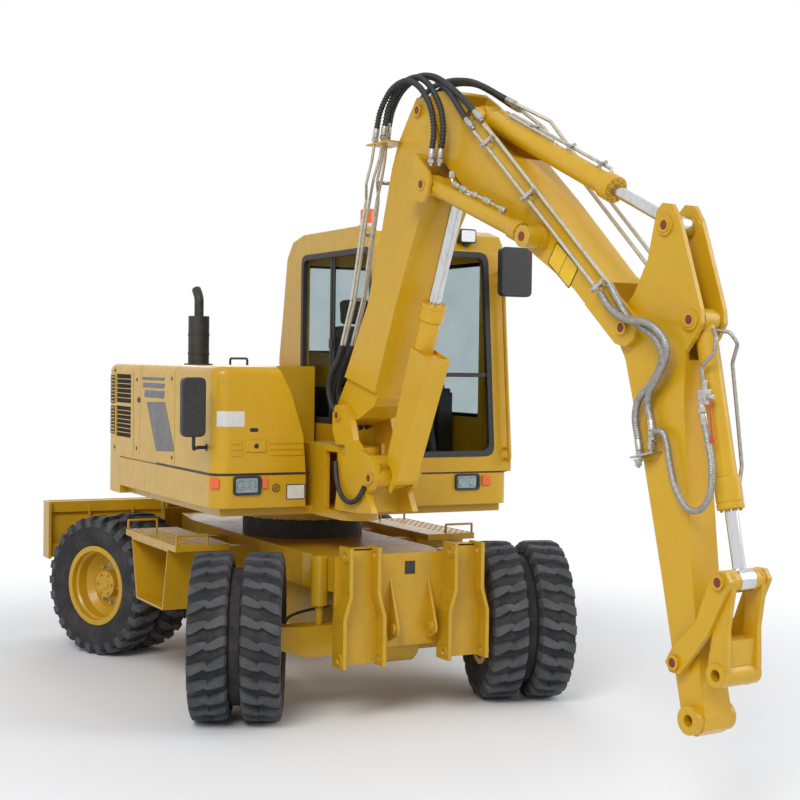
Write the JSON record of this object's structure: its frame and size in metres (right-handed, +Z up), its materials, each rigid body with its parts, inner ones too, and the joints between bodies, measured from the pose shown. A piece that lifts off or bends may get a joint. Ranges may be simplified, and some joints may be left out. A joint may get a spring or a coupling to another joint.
{
  "type": "wheeled excavator",
  "caption": "Wheeled excavator with twin tyres, all-wheel steering, rear dozer blade, cab, swing post, two-piece boom, arm with open tool pins",
  "frame": {"origin": "on the ground under the middle of the slewing ring, halfway between the axles", "axes": "+Z up, -Y forwards to the boom, +Y to the blade, +X the machine's left where the cab stands"},
  "size_m": [2.7224, 6.9206, 3.6659],
  "materials": {
    "paint_yellow": "gloss yellow paint",
    "dark_steel": "dark",
    "chrome_rod": "polished",
    "tyre": "matt black",
    "black_paint": "matt black",
    "glass": "clear",
    "seat_fabric": "woven",
    "dark_plastic": "matt",
    "amber_lens": "clear amber"
  },
  "bodies": {
    "undercarriage": {"chassis_frame": "paint_yellow", "front_lugs": "paint_yellow", "rear_lugs": "paint_yellow", "slew_ring_base": "dark_steel", "front_axle": "paint_yellow", "rear_axle": "paint_yellow", "axle_locks": "paint_yellow", "step_right": "paint_yellow", "step_left": "paint_yellow"},
    "blade": {"dozer_blade": "paint_yellow"},
    "blade_barrels": {"blade_barrels": "paint_yellow"},
    "blade_rods": {"blade_rods": "chrome_rod"},
    "upper": {"upper_frame": "paint_yellow", "skirt_right": "paint_yellow", "skirt_left": "paint_yellow", "counterweight": "paint_yellow", "engine_hood": "paint_yellow", "side_cover": "paint_yellow", "tank_cover": "paint_yellow", "engine_block": "dark_steel", "exhaust_stack": "black_paint", "cab_shell": "paint_yellow", "cab_glass": "glass", "operator_seat": "seat_fabric", "consoles": "dark_plastic", "mirror_right": "dark_plastic", "mirror_left": "dark_plastic", "beacon": "amber_lens"},
    "door": {"cab_door": "paint_yellow", "door_glass": "glass"},
    "swing_post": {"swing_post": "paint_yellow"},
    "first_boom": {"first_boom": "paint_yellow"},
    "lift_barrel": {"lift_barrel": "paint_yellow"},
    "lift_rod": {"lift_rod": "chrome_rod"},
    "second_boom": {"second_boom": "paint_yellow"},
    "adjust_barrels": {"adjust_barrels": "paint_yellow"},
    "adjust_rods": {"adjust_rods": "chrome_rod"},
    "arm": {"arm": "paint_yellow"},
    "arm_barrel": {"arm_barrel": "paint_yellow"},
    "arm_rod": {"arm_rod": "chrome_rod"},
    "bucket_barrel": {"bucket_barrel": "paint_yellow"},
    "bucket_rod": {"bucket_rod": "chrome_rod"},
    "side_links": {"side_links": "paint_yellow"},
    "tipping_link": {"tipping_link": "paint_yellow"},
    "knuckle_front_right": {"knuckle_front_right": "paint_yellow"},
    "wheel_front_right": {"wheel_front_right": "paint_yellow", "tyres_front_right": "tyre"},
    "knuckle_front_left": {"knuckle_front_left": "paint_yellow"},
    "wheel_front_left": {"wheel_front_left": "paint_yellow", "tyres_front_left": "tyre"},
    "knuckle_rear_right": {"knuckle_rear_right": "paint_yellow"},
    "wheel_rear_right": {"wheel_rear_right": "paint_yellow", "tyres_rear_right": "tyre"},
    "knuckle_rear_left": {"knuckle_rear_left": "paint_yellow"},
    "wheel_rear_left": {"wheel_rear_left": "paint_yellow", "tyres_rear_left": "tyre"}
  },
  "joints": [
    {"name": "steer_front_right", "type": "hinge", "parent": "undercarriage", "child": "knuckle_front_right", "pos_m": [-0.801, -1.27, 0.506], "axis": [0, 0, 1], "range_deg": [-4, 46]},
    {"name": "spin_front_right", "type": "hinge", "parent": "knuckle_front_right", "child": "wheel_front_right", "pos_m": [-0.801, -1.27, 0.506], "axis": [0.9041, -0.4274, 0], "continuous": true},
    {"name": "steer_front_left", "type": "hinge", "parent": "undercarriage", "child": "knuckle_front_left", "pos_m": [0.801, -1.27, 0.506], "axis": [0, 0, 1], "range_deg": [-2.8, 30.6]},
    {"name": "spin_front_left", "type": "hinge", "parent": "knuckle_front_left", "child": "wheel_front_left", "pos_m": [0.801, -1.27, 0.506], "axis": [0.9578, -0.2874, 0], "continuous": true},
    {"name": "steer_rear_right", "type": "hinge", "parent": "undercarriage", "child": "knuckle_rear_right", "pos_m": [-0.801, 1.27, 0.506], "axis": [0, 0, 1], "range_deg": [-46.2, 4.2]},
    {"name": "spin_rear_right", "type": "hinge", "parent": "knuckle_rear_right", "child": "wheel_rear_right", "pos_m": [-0.801, 1.27, 0.506], "axis": [0.9041, 0.4274, 0], "continuous": true},
    {"name": "steer_rear_left", "type": "hinge", "parent": "undercarriage", "child": "knuckle_rear_left", "pos_m": [0.801, 1.27, 0.506], "axis": [0, 0, 1], "range_deg": [-30.6, 2.8]},
    {"name": "spin_rear_left", "type": "hinge", "parent": "knuckle_rear_left", "child": "wheel_rear_left", "pos_m": [0.801, 1.27, 0.506], "axis": [0.9578, 0.2874, 0], "continuous": true},
    {"name": "blade_lift", "type": "hinge", "parent": "undercarriage", "child": "blade", "pos_m": [0, 1.681, 0.406], "axis": [1, 0, 0], "range_deg": [-52, 2]},
    {"name": "blade_barrel_swing", "type": "hinge", "parent": "undercarriage", "child": "blade_barrels", "pos_m": [0, 1.681, 1.024], "axis": [1, 0, 0], "range_deg": [-17, 1]},
    {"name": "blade_rod_slide", "type": "slide", "parent": "blade_barrels", "child": "blade_rods", "axis": [0, 0.7161, -0.698], "range_m": [-0.02, 0.36]},
    {"name": "slew", "type": "hinge", "parent": "undercarriage", "child": "upper", "pos_m": [0, 0, 1.1], "axis": [0, 0, 1], "continuous": true},
    {"name": "door_hinge", "type": "hinge", "parent": "upper", "child": "door", "pos_m": [0.968, 0.103, 2.2], "axis": [0, 0, 1], "range_deg": [0, 160]},
    {"name": "boom_swing", "type": "hinge", "parent": "upper", "child": "swing_post", "pos_m": [-0.226, -1.35, 1.43], "axis": [0, 0, 1], "range_deg": [-62, 53]},
    {"name": "boom_lift", "type": "hinge", "parent": "swing_post", "child": "first_boom", "pos_m": [-0.22234, -1.37978, 1.84], "axis": [-0.9925, -0.1219, 0], "range_deg": [-50, 10]},
    {"name": "lift_barrel_swing", "type": "hinge", "parent": "swing_post", "child": "lift_barrel", "pos_m": [-0.17823, -1.73908, 1.484], "axis": [-0.9925, -0.1219, 0], "range_deg": [-49.5, 10.2]},
    {"name": "lift_rod_slide", "type": "slide", "parent": "lift_barrel", "child": "lift_rod", "axis": [0.0434, -0.3539, 0.9343], "range_m": [-0.43, 0.09]},
    {"name": "second_boom_lift", "type": "hinge", "parent": "first_boom", "child": "second_boom", "pos_m": [-0.12607, -2.16389, 3.574], "axis": [-0.9925, -0.1219, 0], "range_deg": [0, 58]},
    {"name": "adjust_barrel_swing", "type": "hinge", "parent": "first_boom", "child": "adjust_barrels", "pos_m": [-0.10145, -2.36438, 3.135], "axis": [-0.9925, -0.1219, 0], "range_deg": [-1, 67]},
    {"name": "adjust_rod_slide", "type": "slide", "parent": "adjust_barrels", "child": "adjust_rods", "axis": [0.1135, -0.9242, -0.3648], "range_m": [-0.005, 0.445]},
    {"name": "arm_crowd", "type": "hinge", "parent": "second_boom", "child": "arm", "pos_m": [0.07684, -3.81648, 2.341], "axis": [0.9925, 0.1219, 0], "range_deg": [-45, 60]},
    {"name": "arm_barrel_swing", "type": "hinge", "parent": "second_boom", "child": "arm_barrel", "pos_m": [-0.07305, -2.59565, 3.498], "axis": [-0.9925, -0.1219, 0], "range_deg": [-3, 3]},
    {"name": "arm_rod_slide", "type": "slide", "parent": "arm_barrel", "child": "arm_rod", "axis": [0.1103, -0.8981, -0.4258], "range_m": [-0.37, 0.49]},
    {"name": "link_swing", "type": "hinge", "parent": "arm", "child": "side_links", "pos_m": [0.12401, -4.20059, 0.824], "axis": [0.9925, 0.1219, 0], "range_deg": [-12, 68]},
    {"name": "bucket_barrel_swing", "type": "hinge", "parent": "arm", "child": "bucket_barrel", "pos_m": [0.12584, -4.21548, 2.373], "axis": [-0.9925, -0.1219, 0], "range_deg": [-1.5, 5.6]},
    {"name": "bucket_rod_slide", "type": "slide", "parent": "bucket_barrel", "child": "bucket_rod", "axis": [0.0258, -0.2105, -0.9773], "range_m": [-0.095, 0.515]},
    {"name": "tipping_link_swing", "type": "hinge", "parent": "side_links", "child": "tipping_link", "pos_m": [0.1563, -4.46362, 1.221], "axis": [-0.9925, -0.1219, 0], "range_deg": [-9, 47]}
  ],
  "couplings": [
    {"joint": "steer_front_left", "follows": "steer_front_right", "ratio": 0.66},
    {"joint": "steer_rear_right", "follows": "steer_front_right", "ratio": -1},
    {"joint": "steer_rear_left", "follows": "steer_front_right", "ratio": -0.66},
    {"joint": "blade_barrel_swing", "follows": "blade_lift", "ratio": 0.3193},
    {"joint": "blade_rod_slide", "follows": "blade_lift", "m_per_rad": -0.3912},
    {"joint": "lift_barrel_swing", "follows": "boom_lift", "ratio": 0.9782},
    {"joint": "lift_rod_slide", "follows": "boom_lift", "m_per_rad": 0.4862},
    {"joint": "adjust_barrel_swing", "follows": "second_boom_lift", "ratio": 1.1361},
    {"joint": "adjust_rod_slide", "follows": "second_boom_lift", "m_per_rad": 0.435},
    {"joint": "arm_barrel_swing", "follows": "arm_crowd", "ratio": -0.04},
    {"joint": "arm_rod_slide", "follows": "arm_crowd", "m_per_rad": 0.4616},
    {"joint": "bucket_barrel_swing", "follows": "link_swing", "ratio": 0.0762},
    {"joint": "bucket_rod_slide", "follows": "link_swing", "m_per_rad": 0.4278},
    {"joint": "tipping_link_swing", "follows": "link_swing", "ratio": 0.68}
  ]
}
